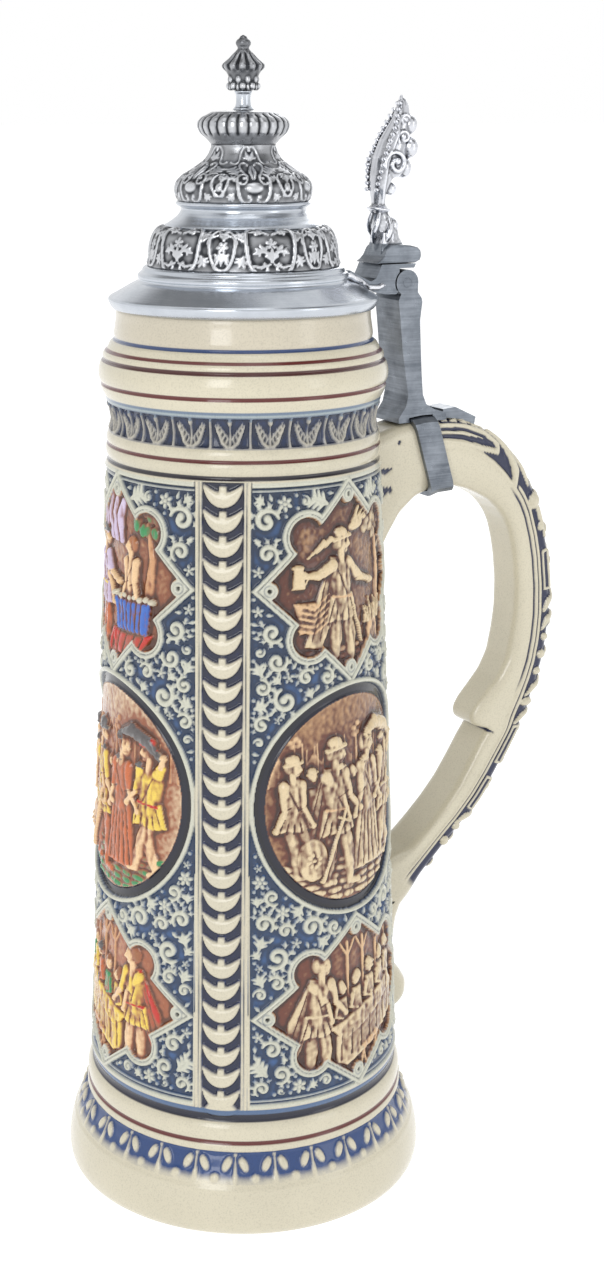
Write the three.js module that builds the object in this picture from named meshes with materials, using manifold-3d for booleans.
// A tall relief beer stein: a stoneware vessel with a luted-on handle, and a stepped pewter lid
// that turns on a five-ring hinge carried by a strap clamped round the handle.
// Millimetres, +Z up. The origin is the centre of the foot's underside, the handle points to +X,
// and the hinge pin lies along Y.
import * as THREE from "three";
import { mergeVertices } from "three/addons/utils/BufferGeometryUtils.js";
import Module from "manifold-3d";

const wasm = await Module();
wasm.setup();

// ---- Driving dimensions -------------------------------------------------------------------
const RIM_HEIGHT = 377.4; // top of the stoneware rim
const PANEL_BOTTOM = { r: 67.4, z: 53.4 }; // lower end of the tapered picture wall
const PANEL_TOP = { r: 56.2, z: 315.4 }; // its upper end
const FIT_GAP = 0.3; // clearance between a piece and the one that it sits on

const HANDLE_WIDTH = 23;
const HANDLE_EDGE = 5; // rounding of the handle's long edges

const HINGE = { x: 71.3, z: 383.7 }; // hinge pin axis
const KNUCKLE_RADIUS = 5.3;
const KNUCKLE_CLEARANCE = 0.45;
const HINGE_WIDTH = 19;
const KNUCKLES = 5; // three on the strap post, two on the lid tang
const KNUCKLE_GAP = 0.2;
const PIN_RADIUS = 1.92;
const BORE_RADIUS = 2.0;
const PLUG_LENGTH = 1.2; // pewter plugs that close the ends of the pin's bore

const BAND = { x: 84.4, z: 311.6, tilt: THREE.MathUtils.degToRad(17), length: 11, wall: 1.9 };

const ROD_RADIUS = 1.7; // threaded rod that holds the finial
const ROD_HOLE_RADIUS = 2.0;

const PEWTER = { color: 0xa9adb2, roughness: 0.32, metalness: 1 };
const ANTIQUED = { color: 0x5e5f60, roughness: 0.45, metalness: 1 };
const BRIGHT = { color: 0xd9dcdf, roughness: 0.16, metalness: 1 };
const STONEWARE = { color: 0xe4dcc0, roughness: 0.25, metalness: 0 };

// ---- Helpers ------------------------------------------------------------------------------
const stein = new THREE.Group();

function add(name, geometry, finish) {
  const mesh = new THREE.Mesh(geometry, new THREE.MeshStandardMaterial(finish));
  mesh.name = name;
  stein.add(mesh);
}

// A [radius, height] outline turned about the Z axis.
function turned(outline, segments = 48) {
  const points = outline.map(([r, z]) => new THREE.Vector2(r, z));
  return new THREE.LatheGeometry(points, segments).rotateX(Math.PI / 2);
}

function shapeOf(outline) {
  return new THREE.Shape(outline.map(([x, z]) => new THREE.Vector2(x, z)));
}

// An outline in the XZ plane, extruded along Y from y0 to y1, with its long edges rounded by
// edge and its whole surface moved out by grow.
function slab(outline, y0, y1, edge = 0, grow = 0) {
  const options = {
    depth: y1 - y0 - 2 * edge + 2 * grow,
    bevelEnabled: edge > 0,
    bevelThickness: edge,
    bevelSize: edge,
    bevelOffset: grow - edge,
    bevelSegments: 3,
    steps: 1,
  };
  const geometry = new THREE.ExtrudeGeometry(shapeOf(outline), options);
  return geometry.rotateX(Math.PI / 2).translate(0, y1 + grow - edge, 0);
}

// A cylinder along Y, centred on the XZ point given.
function barrel(radius, y0, y1, { x, z }, segments = 32) {
  const geometry = new THREE.CylinderGeometry(radius, radius, y1 - y0, segments);
  return geometry.translate(x, (y0 + y1) / 2, z);
}

function solid(geometry) {
  const bare = geometry.clone();
  bare.deleteAttribute("normal");
  bare.deleteAttribute("uv");
  const merged = mergeVertices(bare, 1e-4);
  return new wasm.Manifold(
    new wasm.Mesh({
      numProp: 3,
      vertProperties: new Float32Array(merged.attributes.position.array),
      triVerts: new Uint32Array(merged.index.array),
    }),
  );
}

function geometryOf(manifold) {
  const mesh = manifold.getMesh();
  const geometry = new THREE.BufferGeometry();
  geometry.setAttribute("position", new THREE.BufferAttribute(mesh.vertProperties, 3));
  geometry.setIndex(new THREE.BufferAttribute(mesh.triVerts, 1));
  return geometry;
}

const join = (...geometries) =>
  geometries.map(solid).reduce((sum, piece) => sum.add(piece));
const cut = (whole, ...geometries) =>
  geometries.map(solid).reduce((left, tool) => left.subtract(tool), whole);

// ---- Stoneware vessel ---------------------------------------------------------------------
const FOOT_PROFILE = [
  [0, 0], [69, 0], [74.5, 1.4], [77.3, 4.6], [78.1, 8.8], [77.7, 13.5], [76.6, 18.6],
  [75.3, 22.2], [73.2, 25.6], [71.2, 30.5], [69.9, 34.8], [69.6, 39.2], [68.4, 40.3],
  [69.2, 41.4], [68.6, 46.6], [66.8, 49.4],
];
const SHOULDER_PROFILE = [
  [54.9, 316.9], [55.7, 319.2], [55.6, 322], [54.9, 322.9], [55.4, 323.9], [54.9, 327.4],
  [53.4, 330.6], [53.4, 334], [54.8, 338], [55.9, 341], [57.4, 346.2], [57.1, 347.2],
  [58.1, 348.4], [58.5, 351.3], [57.8, 355.4], [56.2, 356.6], [56.7, 358], [55.2, 361.6],
  [53.4, 363.4], [51.6, 364.2], [52, 366.6], [51.5, 370], [51.1, 374],
];
const RIM_PROFILE = [
  [50.9, 376.6], [50.1, RIM_HEIGHT], [46.2, RIM_HEIGHT], [45.2, 376.4],
];
const CAVITY_PROFILE = [
  [45, 366], [58, 24], [56.6, 17], [52, 12.6], [45, 11], [0, 11],
];
const OUTER_PROFILE = [
  ...FOOT_PROFILE,
  [PANEL_BOTTOM.r, PANEL_BOTTOM.z],
  [PANEL_TOP.r, PANEL_TOP.z],
  ...SHOULDER_PROFILE,
];

add("stoneware_body", turned([...OUTER_PROFILE, ...RIM_PROFILE, ...CAVITY_PROFILE]), STONEWARE);

// ---- Handle -------------------------------------------------------------------------------
// Side outline: along the back from the upper root to the tail's scroll, then up the inside.
const HANDLE_BACK = [
  [48, 316], [60, 321.5], [70, 324.6], [80, 325.8], [91, 325.8], [102, 324.2], [112, 320.4],
  [120, 315], [127, 308.8], [132.6, 302.8], [137.3, 297], [141.3, 290.6], [146, 279.6],
  [150, 263.5], [151.9, 248], [152.4, 234], [151.7, 222.5], [149.8, 211.5], [146.6, 200.8],
  [142.2, 190.4], [137.4, 180.4], [131.4, 169.8], [125, 159.4], [117.8, 149.4], [109.2, 139.6],
  [98.6, 129.4], [88.4, 119.2], [80, 110.2], [75, 104.4], [72.8, 98],
];
const TAIL_SCROLL = [
  [72, 88], [72.6, 80], [76.4, 75.2], [79.6, 70], [80.2, 64], [78, 59], [73.6, 56.4],
  [67, 57], [48, 62],
];
const HANDLE_INSIDE = [
  [48, 123], [66, 127.6], [75, 131], [82, 134.8], [89, 140.2], [97, 147.8], [105, 157.4],
  [111.4, 167.4], [115.6, 176], [117.6, 182.4], [120, 190], [123.6, 200.6], [128.2, 212],
  [131.2, 223.4], [132.4, 235], [132.2, 249], [130.4, 262.8], [127.6, 273.6], [124.4, 280],
  [119.6, 286], [113, 290.8], [105, 294.2], [96, 296.6], [87.6, 296.2], [80, 293.8],
  [74, 289.8], [69.4, 284.6], [65.4, 278], [61, 269], [57, 261], [48, 254],
];

const vesselWithGap = turned([...OUTER_PROFILE, [51.1, RIM_HEIGHT], [0, RIM_HEIGHT]]
  .map(([r, z]) => [r > 0 ? r + FIT_GAP : 0, z]));
const HANDLE_OUTLINE = [...HANDLE_BACK, ...TAIL_SCROLL, ...HANDLE_INSIDE];
const handleSlab = (grow) =>
  slab(HANDLE_OUTLINE, -HANDLE_WIDTH / 2, HANDLE_WIDTH / 2, HANDLE_EDGE, grow);
add("stoneware_handle", geometryOf(cut(solid(handleSlab(0)), vesselWithGap)), STONEWARE);

// ---- Hinge layout along Y -----------------------------------------------------------------
// Knuckle i of the five; even ones belong to the strap post and odd ones to the lid tang.
const KNUCKLE_PITCH = HINGE_WIDTH / KNUCKLES;
function knuckleSpan(i, grow = 0) {
  const start = -HINGE_WIDTH / 2 + i * KNUCKLE_PITCH;
  const low = i === 0 ? start : start + KNUCKLE_GAP / 2 - grow;
  const high = i === KNUCKLES - 1
    ? start + KNUCKLE_PITCH
    : start + KNUCKLE_PITCH - KNUCKLE_GAP / 2 + grow;
  return [low, high];
}
const knuckleNumbers = (parity) =>
  [...Array(KNUCKLES).keys()].filter((i) => i % 2 === parity);
const knuckles = (parity) =>
  knuckleNumbers(parity).map((i) => barrel(KNUCKLE_RADIUS, ...knuckleSpan(i), HINGE));
// What has to be cleared away for the other leaf's knuckles to turn in.
const knuckleSlots = (parity) =>
  knuckleNumbers(parity).map((i) =>
    barrel(KNUCKLE_RADIUS + KNUCKLE_CLEARANCE, ...knuckleSpan(i, KNUCKLE_GAP), HINGE));
const pinBore = barrel(BORE_RADIUS, -HINGE_WIDTH, HINGE_WIDTH, HINGE, 24);

// ---- Strap: band round the handle, post standing on it, and tail --------------------------
// The stretch of the handle that the band is clamped round, as a solid grown by grow.
function bandStretch(grow, length) {
  const along = new THREE.BoxGeometry(length, 60, 60).rotateY(-BAND.tilt)
    .translate(BAND.x, 0, BAND.z);
  return solid(along).intersect(solid(handleSlab(grow)));
}
const handleRoom = solid(handleSlab(FIT_GAP));
const band = bandStretch(FIT_GAP + BAND.wall, BAND.length).subtract(handleRoom);
add("strap_band", geometryOf(band), PEWTER);

const POST_OUTLINE = [
  [68.4, 382.6], [68.4, 379.2], [67.3, 376.6], [68.3, 368.5], [69.7, 355.7], [71.4, 345.6],
  [73, 337], [72, 332.4], [68.6, 327.4], [68.6, 325.4], [92.4, 325.4], [92, 328.6],
  [86, 330.4], [82, 332.8], [80.2, 337], [79.4, 345], [78.7, 355], [77.9, 368], [78.8, 375.6],
  [78.4, 377.2], [76.5, 379.6], [76.5, 382.6],
];
const postLeaf = cut(
  join(slab(POST_OUTLINE, -HINGE_WIDTH / 2, HINGE_WIDTH / 2), ...knuckles(0)),
  ...knuckleSlots(1),
  pinBore,
);
const bandRoom = bandStretch(BAND.wall + 2 * FIT_GAP, BAND.length + 2 * FIT_GAP);
const post = postLeaf.subtract(handleRoom).subtract(bandRoom);
add("strap_post", geometryOf(post), PEWTER);

const TAIL_OUTLINE = [
  [92.8, 324.4], [108.6, 320], [109.6, 325], [99, 330], [92.8, 329.4],
];
const tail = solid(slab(TAIL_OUTLINE, -6, 6)).subtract(handleRoom);
add("strap_tail", geometryOf(tail), PEWTER);

// ---- Hinge pin and its end plugs ----------------------------------------------------------
const pinEnd = HINGE_WIDTH / 2 - PLUG_LENGTH - 0.1;
add("hinge_pin", barrel(PIN_RADIUS, -pinEnd, pinEnd, HINGE, 24), PEWTER);
const plugSpan = [HINGE_WIDTH / 2 - PLUG_LENGTH, HINGE_WIDTH / 2];
add("pin_plug_front", barrel(PIN_RADIUS, -plugSpan[1], -plugSpan[0], HINGE, 24), PEWTER);
add("pin_plug_rear", barrel(PIN_RADIUS, plugSpan[0], plugSpan[1], HINGE, 24), PEWTER);

// ---- Lid: turned and cast shells stacked from the brim up ---------------------------------
// Each outline runs up the outside and back down the inside.
const FLANGE_OUTLINE = [
  [51.7, 376.2], [52.4, 376.3], [53.7, 378.8], [54.1, 380.1], [53.5, 381], [48.8, 383.9],
  [44.2, 386.2], [42, 387.3], [42.4, 389.2], [41.2, 391.4], [39.2, 392.8], [35.5, 392.8],
  [36.5, 389.5], [40.5, 385], [44.6, 380.6], [44.9, 377.7], [51.7, 377.7],
];
const LOWER_BAND_OUTLINE = [
  [35.5, 392.9], [38.4, 392.9], [37.4, 395.6], [37.2, 399], [36.6, 402.6], [35.6, 405],
  [34.2, 407], [31.6, 408.2], [28.2, 408.2], [31.5, 406], [33.6, 402], [34.4, 397],
];
const NECK_RING_OUTLINE = [
  [25.2, 408.3], [31.4, 408.3], [29.2, 410.2], [25.8, 412.2], [24.4, 414.2], [24.8, 415.6],
  [26.4, 416.4], [26.8, 417.8], [21.6, 417.8], [21.6, 411],
];
const UPPER_DOME_OUTLINE = [
  [21.6, 417.9], [26, 417.9], [26.7, 420.6], [26.9, 423.2], [25.9, 425.6], [23, 428],
  [19.1, 430.3], [15.6, 432.7], [13.6, 434.8], [12.5, 437.2], [12.8, 439.4], [8.4, 439.4],
  [8.8, 436], [11.2, 431.6], [18.6, 427], [23, 423.6], [23.6, 421.4],
];
const MELON_OUTLINE = [
  [ROD_HOLE_RADIUS, 439.5], [12.8, 439.5], [14.6, 441.5], [17, 443.6], [18.2, 446.3],
  [16.9, 449], [13.2, 451], [6.4, 452.1], [ROD_HOLE_RADIUS, 452.1],
  [ROD_HOLE_RADIUS, 439.5],
];
const closed = (outline) => [...outline, outline[0]];
add("lid_flange", turned(closed(FLANGE_OUTLINE)), PEWTER);
add("lid_lower_band", turned(closed(LOWER_BAND_OUTLINE)), ANTIQUED);
add("lid_neck_ring", turned(closed(NECK_RING_OUTLINE), 40), BRIGHT);
add("lid_upper_dome", turned(closed(UPPER_DOME_OUTLINE), 40), ANTIQUED);
add("lid_melon_ring", turned(MELON_OUTLINE, 32), ANTIQUED);

// ---- Finial: crown and tube on a threaded rod, with a washer and nut under the lid ---------
const STEM_OUTLINE = [
  [ROD_HOLE_RADIUS, 452.2], [4.1, 452.2], [3.1, 453.6], [2.9, 455], [2.9, 458.4],
  [3.4, 459.6], [ROD_HOLE_RADIUS, 459.6], [ROD_HOLE_RADIUS, 452.2],
];
const CROWN_OUTLINE = [
  [ROD_HOLE_RADIUS, 459.7], [5.4, 459.7], [6.1, 461], [5.7, 463.2], [6.2, 465.8],
  [7.4, 467.6], [8.2, 469.2], [7.6, 471], [5.8, 473], [3.6, 474.6], [2, 475.4],
  [2.7, 476.6], [2.7, 478.6], [1.6, 479.9], [0, 480.2], [0, 467], [ROD_HOLE_RADIUS, 467],
  [ROD_HOLE_RADIUS, 459.7],
];
add("finial_stem", turned(STEM_OUTLINE, 24), BRIGHT);
add("finial_crown", turned(CROWN_OUTLINE, 24), ANTIQUED);

const ROD_FROM = 430;
const ROD_TO = 466.8;
const onAxis = (geometry, z0, z1) => geometry.rotateX(Math.PI / 2).translate(0, 0, (z0 + z1) / 2);
add(
  "finial_rod",
  onAxis(new THREE.CylinderGeometry(ROD_RADIUS, ROD_RADIUS, ROD_TO - ROD_FROM, 20), ROD_FROM, ROD_TO),
  PEWTER,
);

function ringPlate(outerShape, z0, z1) {
  const hole = new THREE.Path();
  hole.absarc(0, 0, ROD_HOLE_RADIUS, 0, 2 * Math.PI, true);
  outerShape.holes.push(hole);
  const options = { depth: z1 - z0, bevelEnabled: false, curveSegments: 20 };
  return new THREE.ExtrudeGeometry(outerShape, options).translate(0, 0, z0);
}
const washer = new THREE.Shape();
washer.absarc(0, 0, 6.5, 0, 2 * Math.PI);
add("finial_washer", ringPlate(washer, 438.2, 439.4), PEWTER);
const NUT_CORNER_RADIUS = 4.6;
const hexagon = shapeOf([...Array(6).keys()].map((i) => [
  NUT_CORNER_RADIUS * Math.cos((i * Math.PI) / 3),
  NUT_CORNER_RADIUS * Math.sin((i * Math.PI) / 3),
]));
add("finial_nut", ringPlate(hexagon, 434.6, 438.1), PEWTER);

// ---- Lid tang: plate on the brim, hinge leaf and the block under the thumblift -------------
const TANG_OUTLINE = [
  [43.2, 387.4], [48.9, 384.3], [53.6, 381.4], [56.4, 380.2], [61, 379.4], [66, 379.2],
  [67.5, 380.6], [67.5, 389.7], [74.6, 389.7], [75.4, 391.4], [59, 391.4], [57.8, 388.6],
  [56.4, 386], [54, 384.8], [49, 387], [44.2, 389.6],
];
const TANG_HALF_WIDTH = HINGE_WIDTH / 2 - 0.3;
const tang = cut(
  join(slab(TANG_OUTLINE, -TANG_HALF_WIDTH, TANG_HALF_WIDTH), ...knuckles(1)),
  ...knuckleSlots(0),
  turned([[0, 370], ...FLANGE_OUTLINE.slice(0, 11), [0, 392.8]]
    .map(([r, z]) => [r > 0 ? r + FIT_GAP : 0, z + FIT_GAP])),
  pinBore,
);
add("lid_tang", geometryOf(tang), PEWTER);

// ---- Thumblift ----------------------------------------------------------------------------
const LIFT_LEAN = THREE.MathUtils.degToRad(13);
const BLOCK_OUTLINE = [
  [59, 391.7], [75.8, 391.7], [78.2, 393.2], [78.4, 396.2], [76.6, 397.4], [70, 398.6],
  [67.8, 401], [67.2, 404], [61.2, 404], [60.4, 401], [58.8, 398], [58, 394],
];
// Front view of the leaf-shaped plate: [across Y, height up the leaning plate].
const LEAF_HALF = [
  [3.4, -1], [6, 3], [9.6, 7], [11.2, 12], [10.6, 18], [11.4, 23], [10.4, 29], [7.6, 34],
  [5.4, 39], [2.6, 43.4],
];
const leafOutline = [
  ...LEAF_HALF,
  [0, 46],
  ...LEAF_HALF.map(([y, h]) => [-y, h]).reverse(),
];
const LEAF_THICKNESS = 8;
const LEAF_FOOT = { x: 62.2, z: 412.2 };
const leaf = new THREE.ExtrudeGeometry(shapeOf(leafOutline), {
  depth: LEAF_THICKNESS - 3, bevelEnabled: true, bevelThickness: 1.5, bevelSize: 1.2,
  bevelOffset: -1.2, bevelSegments: 2,
})
  .translate(0, 0, -(LEAF_THICKNESS - 3) / 2)
  .rotateX(Math.PI / 2)
  .rotateZ(Math.PI / 2)
  .rotateY(LIFT_LEAN)
  .translate(LEAF_FOOT.x, 0, LEAF_FOOT.z);
const STEM_BALUSTER = [
  [0, -13], [5.2, -13], [4.6, -9], [3.6, -6], [4.4, -3], [5.6, -1.6], [5.6, 1], [4.2, 2.4],
  [0, 3],
];
const baluster = turned(STEM_BALUSTER, 20).rotateY(LIFT_LEAN / 2)
  .translate(LEAF_FOOT.x, 0, LEAF_FOOT.z);
const thumblift = join(slab(BLOCK_OUTLINE, -9, 9), baluster, leaf);
add("thumblift", geometryOf(thumblift), BRIGHT);

export default stein;
